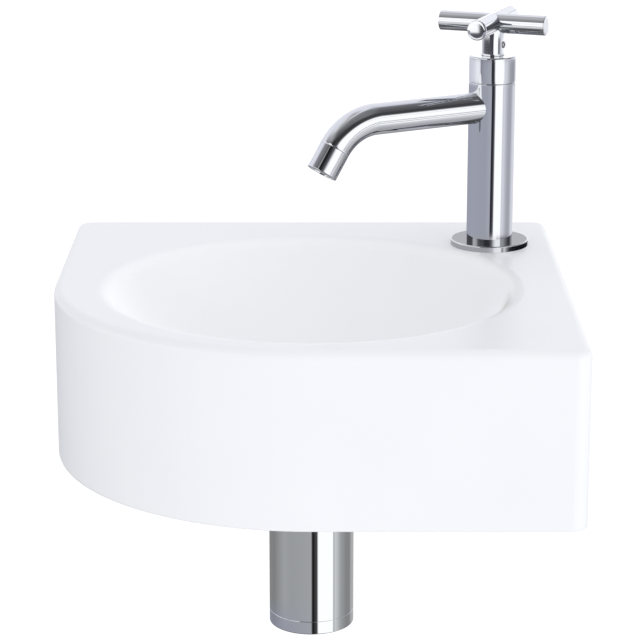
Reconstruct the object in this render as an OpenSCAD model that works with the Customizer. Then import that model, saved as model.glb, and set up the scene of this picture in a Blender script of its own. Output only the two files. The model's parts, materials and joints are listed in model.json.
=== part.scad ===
// Wall-hung hand basin with a pillar tap and a bottle trap.
// Millimetres. The origin is on the wall, midway between the two fixing bolts.
// X runs to the right for somebody facing the basin, Y runs into the wall, Z is up.

/* [Basin] */
// Width of the basin along the wall
basin_w = 300; // [292:2:340]
// How far the basin stands out from the wall
basin_d = 300; // [296:2:340]
// Height of the basin from its lower edge to its rim
basin_h = 102; // [98:1:120]
// Height of the rim above the fixing bolts
rim_z = 50; // [46:1:54]
// Radius of the one big rounded corner, front left
front_arc_r = 150; // [120:2:150]
// Radius of the three small corners
corner_r = 9; // [7:0.5:14]
// Rounding along the top edge
edge_r = 5; // [3:0.5:5.5]
// Rounding along the lower edge
foot_r = 2.5; // [1.5:0.5:4]
// Thickness of the side, front and back walls
wall_t = 10; // [8:0.5:11]
// Thickness of the flat deck
deck_t = 14; // [12:0.5:18]
// Distance between the two fixing bolts
bolt_spacing = 140; // [120:5:160]
// Diameter of each fixing hole
bolt_hole_d = 12; // [10:0.5:14]
// Diameter of the thickened pad round each fixing hole
bolt_pad_d = 34; // [30:1:40]
// Depth of that pad behind the back wall
bolt_pad_t = 5; // [3:0.5:8]

/* [Bowl] */
// Width of the deck beside the bowl, at each side
deck_side = 26; // [25:1:40]
// Width of the deck in front of the bowl
deck_front = 13; // [12:1:24]
// Rounding of the rim of the bowl
bowl_rim_r = 12; // [8:0.5:16]
// Depth of the bowl at its centre
bowl_depth = 70; // [62:1:72]
// Distance of the centre of the bowl from the wall
bowl_y = 163; // [160:0.5:166]
// Thickness of the bowl
bowl_t = 9.5; // [8:0.5:10]
// Diameter of the boss round the waste hole
boss_d = 80; // [76:1:90]
// Thickness of the boss at the waste hole
boss_t = 20.5; // [18:0.5:22]
// Diameter of the waste hole
waste_hole_d = 46; // [45:0.5:48]

/* [Tap] */
// Distance of the tap from the right side of the basin
tap_side = 40; // [38:0.5:44]
// Distance of the tap from the wall
tap_y = 62; // [56:0.5:64]
// Diameter of the tap hole in the deck
tap_hole_d = 35; // [33:0.5:36]
// Diameter of the base plate
base_d = 47.6; // [45:0.2:50]
// Thickness of the base plate
base_t = 3.6; // [3:0.1:5]
// Diameter of the tap body and its bonnet
body_d = 28.4; // [27.4:0.2:32]
// Height of the tap body above the rim
body_h = 102; // [100:1:130]
// Height of the bonnet above the body
bonnet_h = 16; // [14:0.5:22]
// Outer diameter of the spout tube
spout_d = 19; // [17:0.5:19.6]
// Wall thickness of the spout tube
spout_t = 1.8; // [1.2:0.1:2.2]
// Distance of the spout below the top of the body
spout_drop = 15.5; // [14:0.5:17]
// Turn of the spout away from the line of the wall
spout_turn = 30; // [0:1:60]
// Straight run of the spout, from the axis of the tap
spout_run = 82.8; // [60:0.2:110]
// Radius of the bend near the tip
spout_bend_r = 33.8; // [24:0.2:44]
// Angle of that bend
spout_bend = 57; // [45:1:80]
// Length of the aerator sleeve on the tip
sleeve_l = 16.3; // [14:0.1:22]

/* [Handle] */
// Diameter of the neck
neck_d = 13.4; // [12.6:0.2:15]
// Height of the middle of the arms above the bonnet
arm_rise = 19.6; // [18:0.2:28]
// Diameter of the arms
arm_d = 12; // [9:0.2:13]
// Reach of each arm from the axis
arm_reach = 33.2; // [28:0.1:40]
// Rounding of the ends of the arms
arm_end_r = 0.8; // [0.6:0.1:3]
// Turn of the arms when the tap is shut
arm_turn = 21; // [0:1:90]
// Diameter of the grub screw
grub_d = 4; // [3:0.5:5]
// Length of the grub screw
grub_l = 3.4; // [2.4:0.1:3.6]

/* [Valve] */
// Diameter of the threaded tail, a half-inch pipe thread
tail_d = 20.95; // [20.95:0.05:21.25]
// Bore of the threaded tail
tail_bore_d = 12; // [10:0.5:13]
// Length of the threaded tail below the rim
tail_l = 60; // [52:1:80]
// Depth of the valve seat below the top of the body
valve_l = 33; // [32:0.5:40]
// Diameter of the pocket that holds the valve
pocket_d = 21; // [20.6:0.1:21.4]
// Diameter of the two ceramic discs
disc_d = 17.2; // [16:0.1:17.3]
// Thickness of each ceramic disc
disc_t = 3.5; // [3:0.1:4]
// Diameter of the spindle
spindle_d = 8; // [7:0.1:8.4]
// Width across the flats of the nut under the deck
back_nut_af = 30; // [28:1:34]
// Height of the nut under the deck
back_nut_h = 8; // [6:0.5:10]

/* [Waste] */
// Diameter of the flange in the bowl
waste_flange_d = 64; // [60:0.5:66]
// Thickness of that flange
waste_flange_t = 2.2; // [1.8:0.1:3]
// Diameter of the threaded tail, a one and a quarter inch pipe thread
waste_tail_d = 41.9; // [41.9:0.05:42.5]
// Wall thickness of the tail
waste_tail_t = 2.9; // [2:0.1:3.4]
// Length of the tail below its seat in the bowl
waste_tail_l = 46.5; // [44:0.5:50]
// Diameter of the dome over the waste
dome_d = 58; // [52:1:60]
// Gap between the flange and the dome for the water
dome_gap = 4; // [3:0.5:7]
// Width across the flats of the nut under the bowl
waste_nut_af = 52; // [49:1:56]
// Height of the nut under the bowl
waste_nut_h = 8; // [6:0.5:9]

/* [Trap] */
// Diameter of the trap
trap_d = 50.4; // [49:0.2:60]
// Wall thickness of the trap
trap_t = 1.7; // [1.4:0.1:1.8]
// Height of the trap body
trap_h = 64; // [62:1:90]
// Height of the cap at the bottom of the trap
trap_cap_h = 8.2; // [6:0.1:12]
// Outer diameter of the pipes, 32 mm chromed tube
pipe_d = 32; // [31:0.5:33]
// Wall thickness of the pipes
pipe_t = 1; // [0.8:0.1:1.5]
// Distance of the outlet neck below the top of the trap body
outlet_shoulder = 1.2; // [0.5:0.1:6]
// Length of the outlet pipe behind the face of the wall
pipe_tail = 30; // [20:1:60]
// Diameter of the rosette on the wall
rosette_d = 64; // [56:1:74]
// Depth of the rosette
rosette_h = 9; // [6:0.5:14]

/* [Fits] */
// Radial clearance of parts that turn or slide
run_gap = 0.05; // [0.02:0.01:0.09]
// Radial clearance of threads and plain fits
fit_gap = 0.05; // [0.02:0.01:0.09]
// Radial clearance of the coarse threads of the slip nuts
nut_gap = 0.2; // [0.1:0.01:0.3]
// Radial clearance round a seal
seal_gap = 0.1; // [0.05:0.01:0.2]
// Thickness of the flat rubber seals
seal_t = 3; // [2:0.1:3.4]

/* [Hidden] */
$fn = 96;
cut = 1;
half_w = basin_w / 2;
foot_z = rim_z - basin_h;
deck_z = rim_z - deck_t;
arc_x = -half_w + front_arc_r;
arc_y = -basin_d + front_arc_r;
cavity_corner_r = 4;
bolt_x = bolt_spacing / 2;
tap_x = half_w - tap_side;

// The bowl fills the room beside it or in front of it, whichever is less.
// It is part of a sphere that meets the rounded rim without a step.
bowl_r = min(half_w - deck_side, basin_d - bowl_y - deck_front);
bowl_sphere_r = (bowl_depth * bowl_depth + bowl_r * bowl_r) / (2 * bowl_depth) - bowl_rim_r;
bowl_c = rim_z - bowl_depth + bowl_sphere_r;
rim_c = rim_z - bowl_rim_r;
meet_share = bowl_rim_r / (bowl_sphere_r + bowl_rim_r);
meet_x = bowl_r * (1 - meet_share);
meet_z = rim_c + (bowl_c - rim_c) * meet_share;
bowl_ring = 6;
bowl_bottom_z = rim_z - bowl_depth;

// Heights along the waste, from the bowl down
waste_seal_t = 1;
flange_sink = 0.5;
recess_gap = 1.5;
recess_r = waste_flange_d / 2 + recess_gap;
recess_edge_z = bowl_c - sqrt(bowl_sphere_r * bowl_sphere_r - recess_r * recess_r);
recess_z = recess_edge_z - waste_flange_t - waste_seal_t - flange_sink;
flange_z = recess_z + waste_seal_t;
flange_top_z = flange_z + waste_flange_t;
boss_z = recess_z - boss_t;
waste_seal_z = boss_z - seal_t;
waste_nut_z = waste_seal_z - waste_nut_h;
waste_end_z = recess_z - waste_tail_l;
waste_bore_r = waste_tail_d / 2 - waste_tail_t;
waste_lip = 2;
under_seal_d = 62;
spider_drop = 14;
spider_z = recess_z - spider_drop;
spider_h = 5;
spider_w = 6;
spider_r = 6;
dome_stem_r = 4.5;
dome_edge_t = 1.6;
dome_h = 5;
dome_screw_r = 2.5;
dome_screw_head_r = 4.4;
dome_screw_head_h = 3;
dome_screw_l = 14;
screw_room = 1;

// Heights along the trap
nut_wall = 3.4;
nut_lip = 2;
tube_flange_t = 2;
union_seal_t = 2.5;
union_gap = 1.5;
tube_flange_z = waste_end_z - union_seal_t - tube_flange_t;
union_nut_z = tube_flange_z - nut_lip;
union_nut_top = waste_nut_z - union_gap;
pipe_r = pipe_d / 2;
neck_wall = 3.2;
neck_r = pipe_r + seal_gap + neck_wall;
neck_l = 7;
nut_stop = 0.2;
neck_nut_h = neck_l + seal_t + nut_lip - nut_stop;
trap_top_z = union_nut_z - union_gap - nut_lip - seal_t - neck_l;
trap_bottom_z = trap_top_z - trap_h;
trap_cap_z = trap_bottom_z - trap_cap_h;
trap_r = trap_d / 2;
trap_inner_r = trap_r - trap_t;
cap_floor_t = 2;
cap_thread_h = 9;
cap_thread_t = 2.2;
cap_seal_h = 2;
cap_seal_t = 1;
outlet_z = trap_top_z - outlet_shoulder - neck_r;
tube_end_rise = 2;
tube_end_z = trap_bottom_z + tube_end_rise;
outlet_neck_l = 10.8;
outlet_neck_y = trap_r + outlet_neck_l;
pipe_insert = 13;
outlet_start_y = outlet_neck_y - pipe_insert;
depth_mark_w = 1;
depth_mark_d = 0.2;
wall_y = bowl_y;

// Heights along the tap, above the rim
base_seal_t = 1.2;
base_seal_w = 6;
base_rim_w = 2;
coupling_l = 31;
relief_w = 2;
relief_d = 1;
thread_h = 14;
thread_r = 9;
waterway_d = 13;
valve_seal_t = 2;
seat_h = body_h - valve_l;
spout_h = body_h - spout_drop;
spout_r = spout_d / 2;
spout_bore_r = spout_r - spout_t;
spigot_l = 6;
spigot_root = 1;
spigot_step = 1;
spigot_r = spout_r - spigot_step;
spigot_bore_step = 0.2;
spigot_bore_r = spout_bore_r + spigot_bore_step;
sleeve_t = 1;
sleeve_lip = 1.2;
insert_t = 1.6;
insert_floor_t = 2;
aerator_seal_t = 1.5;
aerator_seal_lip = 1;
pocket_r = pocket_d / 2;
valve_r = pocket_r - fit_gap;
cage_gap = 0.1;
cage_r = disc_d / 2 + cage_gap;
discs_top = seat_h + valve_seal_t + 2 * disc_t;
driver_h = 2;
driver_tang_w = 3;
driver_tang_l = 11.4;
driver_tang_h = 1.5;
window_w = 8;
window_margin = 1;
closure_h = 6;
collar_h = 4;
collar_w = 2;
head_flange_h = 2;
head_flange_inset = 1.2;
head_flange_r = body_d / 2 - head_flange_inset;
head_neck_r = 9.5;
head_neck_h = 12;
spindle_seal_h = 2.5;
spindle_seal_w = 2;
bonnet_hole_gap = 0.7;
neck_gap = 0.4;
arm_h = body_h + bonnet_h + arm_rise;
spindle_drop = 6;
spindle_top = arm_h - spindle_drop;
grub_rise = 6.6;
grub_h = body_h + bonnet_h + grub_rise;
grub_socket_r = 1.15;
grub_socket_l = 1.6;
deck_seal_d = 40;
deck_washer_d = 38;
deck_washer_t = 1.5;
tail_r = tail_d / 2;

// Quarter of a disc in the quadrant of +X and +Y
module quarter(r) {
    intersection() {
        circle(r);
        square(r);
    }
}

// Flat ring between two radii
module ring(outer, inner, h) {
    difference() {
        cylinder(r = outer, h = h);
        translate([0, 0, -cut]) cylinder(r = inner, h = h + 2 * cut);
    }
}

// Round nut with a bore for the thread and a lip at its top end
module lipped_nut(outer, thread, lip_bore, h) {
    difference() {
        cylinder(r = outer, h = h);
        translate([0, 0, -cut]) cylinder(r = thread, h = h - nut_lip + cut);
        cylinder(r = lip_bore, h = h + cut);
    }
}

// Rectangle between two corners
module patch(x0, y0, x1, y1) {
    translate([x0, y0]) square([x1 - x0, y1 - y0]);
}

// Plan of the basin, drawn in by inset, with small corners of radius c
module plan(inset, c) {
    x0 = -half_w + inset;
    x1 = half_w - inset;
    y0 = -basin_d + inset;
    y1 = -inset;
    translate([arc_x, arc_y]) rotate(180) quarter(front_arc_r - inset);
    patch(x0, arc_y, x0 + c, y1 - c);
    patch(x0 + c, arc_y, x1 - c, y1);
    patch(x1 - c, y0 + c, x1, y1 - c);
    patch(arc_x, y0, x1 - c, arc_y);
    translate([x0 + c, y1 - c]) rotate(90) quarter(c);
    translate([x1 - c, y1 - c]) quarter(c);
    translate([x1 - c, y0 + c]) rotate(-90) quarter(c);
}

// Quarter-round moulding along a straight edge: starts at a point, runs at an angle
module edge_run(x, y, angle, length, r) {
    translate([x, y, 0]) rotate([90, 0, angle + 90]) linear_extrude(length) quarter(r);
}

// Quarter-round moulding round a corner
module edge_turn(x, y, start, corner, r) {
    translate([x, y, 0]) rotate([0, 0, start]) rotate_extrude(angle = 90)
        translate([corner - r, 0]) quarter(r);
}

// Slab with the basin's plan and a rounded upper edge, standing on z = 0
module rounded_slab(r) {
    x1 = half_w;
    linear_extrude(r) plan(r, corner_r - r);
    edge_run(-x1 + r, arc_y, 90, -arc_y - corner_r, r);
    edge_run(-x1 + corner_r, -r, 0, basin_w - 2 * corner_r, r);
    edge_run(x1 - r, -corner_r, -90, basin_d - 2 * corner_r, r);
    edge_run(x1 - corner_r, -basin_d + r, 180, x1 - corner_r - arc_x, r);
    edge_turn(-x1 + corner_r, -corner_r, 90, corner_r, r);
    edge_turn(x1 - corner_r, -corner_r, 0, corner_r, r);
    edge_turn(x1 - corner_r, -basin_d + corner_r, -90, corner_r, r);
    edge_turn(arc_x, arc_y, 180, front_arc_r, r);
}

// Half section of the bowl: rounded rim, dished wall and boss
module bowl_section() {
    difference() {
        union() {
            intersection() {
                translate([0, bowl_c]) circle(bowl_sphere_r + bowl_t);
                patch(0, boss_z, bowl_r + bowl_ring, meet_z);
            }
            patch(0, boss_z, boss_d / 2, bowl_bottom_z);
        }
        translate([0, bowl_c]) circle(bowl_sphere_r);
    }
    patch(meet_x + bowl_t / 2, deck_z, bowl_r + bowl_ring, meet_z);
    intersection() {
        translate([bowl_r, rim_c]) circle(bowl_rim_r);
        patch(meet_x - cut, meet_z, bowl_r, rim_z);
    }
    patch(bowl_r, meet_z, bowl_r + bowl_ring, rim_z);
}

module basin() {
    color("white") difference() {
        union() {
            difference() {
                union() {
                    translate([0, 0, rim_z - edge_r]) rounded_slab(edge_r);
                    translate([0, 0, foot_z + foot_r])
                        linear_extrude(basin_h - edge_r - foot_r) plan(0, corner_r);
                    translate([0, 0, foot_z + foot_r]) mirror([0, 0, 1]) rounded_slab(foot_r);
                }
                translate([0, 0, foot_z - cut])
                    linear_extrude(deck_z - foot_z + cut) plan(wall_t, cavity_corner_r);
                translate([0, -bowl_y, deck_z - cut])
                    cylinder(r = bowl_r + bowl_ring, h = deck_t + 2 * cut);
            }
            translate([0, -bowl_y, 0]) rotate_extrude() bowl_section();
            for (x = [-bolt_x, bolt_x]) translate([x, -wall_t, 0]) rotate([90, 0, 0])
                cylinder(d = bolt_pad_d, h = bolt_pad_t);
        }
        translate([0, -bowl_y, recess_z]) cylinder(r = recess_r, h = bowl_depth);
        translate([0, -bowl_y, boss_z - cut]) cylinder(d = waste_hole_d, h = bowl_depth);
        translate([tap_x, -tap_y, deck_z - cut]) cylinder(d = tap_hole_d, h = deck_t + 2 * cut);
        for (x = [-bolt_x, bolt_x]) translate([x, cut, 0]) rotate([90, 0, 0])
            cylinder(d = bolt_hole_d, h = wall_t + bolt_pad_t + 2 * cut);
    }
}

// Puts a piece of the tap on the deck, with z measured from the rim
module at_tap(h = 0) {
    translate([tap_x, -tap_y, rim_z + h]) children();
}

// Turns a piece of the tap so that its +X points along the spout
module along_spout() {
    rotate([0, 0, 180 + spout_turn]) children();
}

module tap_base_plate() {
    bevel = 0.5;
    color("silver") at_tap() difference() {
        rotate_extrude() polygon([
            [tail_r + fit_gap, 0], [base_d / 2, 0], [base_d / 2, base_t - bevel],
            [base_d / 2 - bevel, base_t], [tail_r + fit_gap, base_t]
        ]);
        translate([0, 0, -cut])
            ring(base_d / 2 - base_rim_w, base_d / 2 - base_rim_w - base_seal_w, base_seal_t + cut);
    }
}

module tap_base_seal() {
    outer = base_d / 2 - base_rim_w;
    color("dimgray") at_tap()
        ring(outer - seal_gap, outer - base_seal_w + seal_gap, base_seal_t);
}

// The relief groove parts the thread for the supply from the thread for the back nut
module tap_tail() {
    chamfer = 1;
    bore = tail_bore_d / 2;
    relief_z = coupling_l - tail_l;
    color("goldenrod") at_tap() difference() {
        rotate_extrude() polygon([
            [bore, -tail_l], [tail_r - chamfer, -tail_l], [tail_r, chamfer - tail_l],
            [tail_r, base_t], [thread_r, base_t], [thread_r, base_t + thread_h],
            [bore, base_t + thread_h]
        ]);
        translate([0, 0, relief_z]) ring(tail_r + cut, tail_r - relief_d, relief_w);
    }
}

module tap_centring_ring() {
    lip = 1;
    color("whitesmoke") at_tap(-deck_t + lip)
        ring(tap_hole_d / 2 - seal_gap, tail_r + seal_gap, deck_t - 2 * lip);
}

module tap_deck_seal() {
    color("dimgray") at_tap(-deck_t - seal_t) ring(deck_seal_d / 2, tail_r + seal_gap, seal_t);
}

module tap_deck_washer() {
    color("lightsteelblue") at_tap(-deck_t - seal_t - deck_washer_t)
        ring(deck_washer_d / 2, tail_r + seal_gap, deck_washer_t);
}

// Hexagon nut given by its width across the flats
module hex_nut(af, bore_r, h) {
    difference() {
        cylinder(r = af / sqrt(3), h = h, $fn = 6);
        translate([0, 0, -cut]) cylinder(r = bore_r, h = h + 2 * cut);
    }
}

module tap_back_nut() {
    color("goldenrod") at_tap(-deck_t - seal_t - deck_washer_t - back_nut_h)
        hex_nut(back_nut_af, tail_r + fit_gap, back_nut_h);
}

module tap_body() {
    color("silver") at_tap() difference() {
        translate([0, 0, base_t]) cylinder(d = body_d, h = body_h - base_t);
        translate([0, 0, base_t - cut]) cylinder(r = thread_r + fit_gap, h = thread_h + 2 * cut);
        cylinder(d = waterway_d, h = body_h);
        translate([0, 0, seat_h]) cylinder(r = pocket_r, h = body_h);
        translate([0, 0, spout_h]) along_spout() rotate([0, 90, 0])
            cylinder(r = spout_r + fit_gap, h = body_d);
    }
}

// Places a piece at the start of the bend, its +Z along the tube
module at_bend() {
    translate([spout_run, 0, 0]) rotate([0, 90, 0]) children();
}

// Places a piece at the end of the bend, its +Z along the tube, out of the tip
module at_tip() {
    at_bend() translate([spout_bend_r, 0, 0]) rotate([0, spout_bend, 0])
        translate([-spout_bend_r, 0, 0]) children();
}

// The spout as a solid rod of one radius, as far as the end of the bend
module spout_rod(r) {
    rotate([0, 90, 0]) cylinder(r = r, h = spout_run);
    translate([spout_run, 0, -spout_bend_r]) rotate([90, 0, 0])
        rotate_extrude(angle = spout_bend, start = 90 - spout_bend)
        translate([spout_bend_r, 0]) circle(r);
}

module spout() {
    color("silver") at_tap(spout_h) along_spout() {
        difference() {
            spout_rod(spout_r);
            spout_rod(spout_bore_r);
            translate([0, 0, -spout_d]) cylinder(r = pocket_r, h = 2 * spout_d);
        }
        at_tip() translate([0, 0, -spigot_root])
            ring(spigot_r, spigot_bore_r, spigot_l + spigot_root);
    }
}

module aerator_sleeve() {
    color("silver") at_tap(spout_h) along_spout() at_tip() difference() {
        cylinder(r = spout_r, h = sleeve_l);
        translate([0, 0, -cut]) cylinder(r = spigot_r + fit_gap, h = sleeve_l - sleeve_lip + cut);
        cylinder(r = spigot_r - sleeve_t, h = sleeve_l + cut);
    }
}

module aerator_seal() {
    bore_r = spout_bore_r - aerator_seal_lip;
    color("dimgray") at_tap(spout_h) along_spout() at_tip() translate([0, 0, spigot_l])
        ring(spigot_r - seal_gap, bore_r, aerator_seal_t);
}

// Jet former: a cup with one centre hole and two rings of holes
module aerator_insert() {
    hole_r = 0.7;
    hole_rings = [[0, 1], [2.6, 6], [5.2, 12]];
    start = spigot_l + aerator_seal_t;
    length = sleeve_l - sleeve_lip - start;
    color("gainsboro") at_tap(spout_h) along_spout() at_tip() translate([0, 0, start]) difference() {
        cylinder(r = spigot_r - seal_gap, h = length);
        translate([0, 0, -cut]) cylinder(r = spigot_r - insert_t, h = length - insert_floor_t + cut);
        for (row = hole_rings) for (k = [0 : row[1] - 1]) rotate([0, 0, 360 * k / row[1]])
            translate([row[0], 0, 0]) cylinder(r = hole_r, h = length + cut, $fn = 24);
    }
}

module valve_seal() {
    color("dimgray") at_tap(seat_h)
        ring(pocket_r - seal_gap, waterway_d / 2 + seal_gap, valve_seal_t);
}

// Ceramic disc with two openings on opposite sides of the axis
module ported_disc() {
    port_r = disc_d / 5;
    difference() {
        cylinder(d = disc_d, h = disc_t);
        for (side = [-1, 1]) translate([side * disc_d / 4, 0, -cut])
            cylinder(r = port_r, h = disc_t + 2 * cut);
    }
}

module fixed_disc() {
    color("ivory") at_tap(seat_h + valve_seal_t) ported_disc();
}

// The upper disc covers the lower one's openings when the tap is shut
module moving_disc() {
    color("ivory") at_tap(seat_h + valve_seal_t + disc_t) difference() {
        rotate([0, 0, 90]) ported_disc();
        translate([0, 0, disc_t - driver_tang_h]) driver_bar(fit_gap);
    }
}

// Bar that turns the upper disc, or with a gap the slot that it sits in
module driver_bar(gap) {
    translate([-driver_tang_l / 2 - gap, -driver_tang_w / 2 - gap, 0])
        cube([driver_tang_l + 2 * gap, driver_tang_w + 2 * gap, driver_tang_h + cut]);
}

module headwork_body() {
    cage_z = seat_h + valve_seal_t;
    closure_z = body_h - closure_h;
    top_z = body_h + head_neck_h;
    window_z = discs_top + driver_h;
    color("goldenrod") at_tap() difference() {
        union() {
            translate([0, 0, cage_z]) cylinder(r = valve_r, h = body_h - cage_z);
            translate([0, 0, body_h]) cylinder(r = head_flange_r, h = head_flange_h);
            translate([0, 0, body_h]) cylinder(r = head_neck_r, h = head_neck_h);
        }
        translate([0, 0, cage_z - cut]) cylinder(r = cage_r, h = closure_z - cage_z + cut);
        cylinder(r = spindle_d / 2 + run_gap, h = top_z + cut);
        translate([0, 0, top_z - 2 * spindle_seal_h])
            cylinder(r = spindle_d / 2 + spindle_seal_w, h = spindle_seal_h);
        translate([0, 0, window_z]) for (turn = [0, 90]) rotate([0, 0, turn + spout_turn])
            translate([-pocket_d, -window_w / 2, 0])
            cube([2 * pocket_d, window_w, closure_z - window_margin - window_z]);
    }
}

module spindle_seal() {
    color("dimgray") at_tap(body_h + head_neck_h - 2 * spindle_seal_h)
        ring(spindle_d / 2 + spindle_seal_w, spindle_d / 2 + run_gap, spindle_seal_h);
}

module spindle() {
    closure_z = body_h - closure_h;
    color("goldenrod") at_tap() {
        translate([0, 0, discs_top]) cylinder(r = cage_r - 4 * run_gap, h = driver_h);
        translate([0, 0, discs_top - driver_tang_h]) driver_bar(0);
        translate([0, 0, discs_top]) cylinder(d = spindle_d, h = spindle_top - discs_top);
        translate([0, 0, closure_z - run_gap - collar_h])
            cylinder(r = spindle_d / 2 + collar_w, h = collar_h);
    }
}

module bonnet() {
    bevel = 0.8;
    outer = body_d / 2;
    hole = neck_d / 2 + bonnet_hole_gap;
    top = body_h + bonnet_h;
    color("silver") at_tap() difference() {
        rotate_extrude() polygon([
            [0, body_h], [outer, body_h], [outer, top - bevel], [outer - bevel, top], [0, top]
        ]);
        translate([0, 0, body_h - cut])
            cylinder(r = head_flange_r + fit_gap, h = head_flange_h + fit_gap + cut);
        cylinder(r = head_neck_r + fit_gap, h = body_h + head_neck_h + fit_gap);
        cylinder(r = hole, h = top + cut);
    }
}

// Round rod along X with softened ends, centred on the axis
module rod() {
    r = arm_d / 2;
    rotate([0, 90, 0]) rotate_extrude() {
        patch(0, -arm_reach, r - arm_end_r, arm_reach);
        patch(r - arm_end_r, arm_end_r - arm_reach, r, arm_reach - arm_end_r);
        translate([r - arm_end_r, arm_reach - arm_end_r]) quarter(arm_end_r);
        translate([r - arm_end_r, arm_end_r - arm_reach]) rotate(-90) quarter(arm_end_r);
    }
}

// Turns a piece so that its +X points along the right arm of the handle
module along_arm() {
    rotate([0, 0, -arm_turn]) children();
}

module handle_cross() {
    neck_z = body_h + bonnet_h + neck_gap;
    color("silver") at_tap() difference() {
        union() {
            translate([0, 0, neck_z]) cylinder(d = neck_d, h = arm_h - neck_z);
            for (turn = [0, 90]) translate([0, 0, arm_h]) along_arm() rotate([0, 0, turn]) rod();
        }
        cylinder(r = spindle_d / 2 + fit_gap, h = spindle_top + fit_gap);
        translate([0, 0, grub_h]) along_arm() rotate([0, 90, 0])
            cylinder(r = grub_d / 2 + fit_gap, h = neck_d);
    }
}

module handle_grub_screw() {
    start = spindle_d / 2;
    color("gray") at_tap(grub_h) along_arm() rotate([0, 90, 0]) difference() {
        translate([0, 0, start]) cylinder(d = grub_d, h = grub_l);
        translate([0, 0, start + grub_l - grub_socket_l])
            cylinder(r = grub_socket_r, h = grub_socket_l + cut, $fn = 6);
    }
}

// Puts a piece on the axis of the bowl, with z measured from the origin
module at_bowl(z = 0) {
    translate([0, -bowl_y, z]) children();
}

module waste_body() {
    bevel = 0.8;
    flange_r = waste_flange_d / 2;
    tail_outer = waste_tail_d / 2;
    color("silver") at_bowl() {
        rotate_extrude() polygon([
            [waste_bore_r, waste_end_z], [tail_outer, waste_end_z], [tail_outer, flange_z],
            [flange_r, flange_z], [flange_r, flange_top_z - bevel],
            [flange_r - bevel, flange_top_z], [waste_bore_r + waste_lip, flange_top_z],
            [waste_bore_r, flange_top_z - waste_lip]
        ]);
        difference() {
            union() {
                translate([-waste_bore_r - 1, -spider_w / 2, spider_z])
                    cube([2 * waste_bore_r + 2, spider_w, spider_h]);
                translate([0, 0, spider_z]) cylinder(r = spider_r, h = spider_h);
            }
            translate([0, 0, spider_z - cut])
                cylinder(r = dome_screw_r + fit_gap, h = spider_h + 2 * cut);
        }
    }
}

module waste_flange_seal() {
    color("dimgray") at_bowl(recess_z)
        ring(waste_flange_d / 2, waste_tail_d / 2 + seal_gap, waste_seal_t);
}

// Mushroom-shaped cover on a stem that stands on the spider
module waste_dome() {
    dome_r = dome_d / 2;
    edge_z = flange_top_z + dome_gap;
    crown_r = (dome_r * dome_r + dome_h * dome_h) / (2 * dome_h);
    stem_z = spider_z + spider_h;
    color("silver") at_bowl() difference() {
        union() {
            translate([0, 0, edge_z]) cylinder(r = dome_r, h = dome_edge_t);
            translate([0, 0, edge_z + dome_edge_t]) rotate_extrude() intersection() {
                translate([0, dome_h - crown_r]) circle(crown_r, $fn = 180);
                patch(0, 0, dome_r, dome_h);
            }
            translate([0, 0, stem_z]) cylinder(r = dome_stem_r, h = edge_z - stem_z);
        }
        translate([0, 0, stem_z - cut])
            cylinder(r = dome_screw_r + fit_gap, h = dome_screw_l - spider_h + screw_room + cut);
    }
}

module waste_dome_screw() {
    slot_w = 1.2;
    slot_d = 1.2;
    head_z = spider_z - dome_screw_head_h;
    color("lightsteelblue") at_bowl(head_z) difference() {
        union() {
            cylinder(r = dome_screw_head_r, h = dome_screw_head_h);
            cylinder(r = dome_screw_r, h = dome_screw_head_h + dome_screw_l);
        }
        translate([-dome_screw_head_r - cut, -slot_w / 2, -cut])
            cube([2 * dome_screw_head_r + 2 * cut, slot_w, slot_d + cut]);
    }
}

module waste_under_seal() {
    color("dimgray") at_bowl(waste_seal_z)
        ring(under_seal_d / 2, waste_tail_d / 2 + seal_gap, seal_t);
}

module waste_nut() {
    color("goldenrod") at_bowl(waste_nut_z)
        hex_nut(waste_nut_af, waste_tail_d / 2 + fit_gap, waste_nut_h);
}

module trap_union_nut() {
    thread = waste_tail_d / 2 + fit_gap;
    color("silver") at_bowl(union_nut_top) mirror([0, 0, 1])
        lipped_nut(thread + nut_wall, thread, pipe_r + 4 * fit_gap, union_nut_top - union_nut_z);
}

module trap_union_seal() {
    color("dimgray") at_bowl(waste_end_z - union_seal_t)
        ring(waste_tail_d / 2 - seal_gap, pipe_r - pipe_t, union_seal_t);
}

module trap_dip_tube() {
    color("silver") at_bowl() {
        translate([0, 0, tube_end_z]) ring(pipe_r, pipe_r - pipe_t, tube_flange_z - tube_end_z + 1);
        translate([0, 0, tube_flange_z])
            ring(waste_tail_d / 2 - seal_gap, pipe_r - pipe_t, tube_flange_t);
    }
}

// Compression nut over a threaded neck, open end at z = 0
module neck_nut() {
    thread = neck_r + nut_gap;
    lipped_nut(thread + nut_wall, thread, pipe_r + seal_gap, neck_nut_h);
}

module trap_neck_nut() {
    color("silver") at_bowl(trap_top_z + nut_stop) neck_nut();
}

// Seal squeezed between the end of a neck and the lip of its nut
module neck_seal() {
    ring(neck_r - seal_gap, pipe_r + fit_gap, seal_t);
}

module trap_neck_seal() {
    color("dimgray") at_bowl(trap_top_z + neck_l) neck_seal();
}

// Puts a piece on the outlet, its +Z pointing from the trap to the wall
module at_outlet(y = 0) {
    translate([0, -bowl_y + y, outlet_z]) rotate([-90, 0, 0]) children();
}

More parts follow.
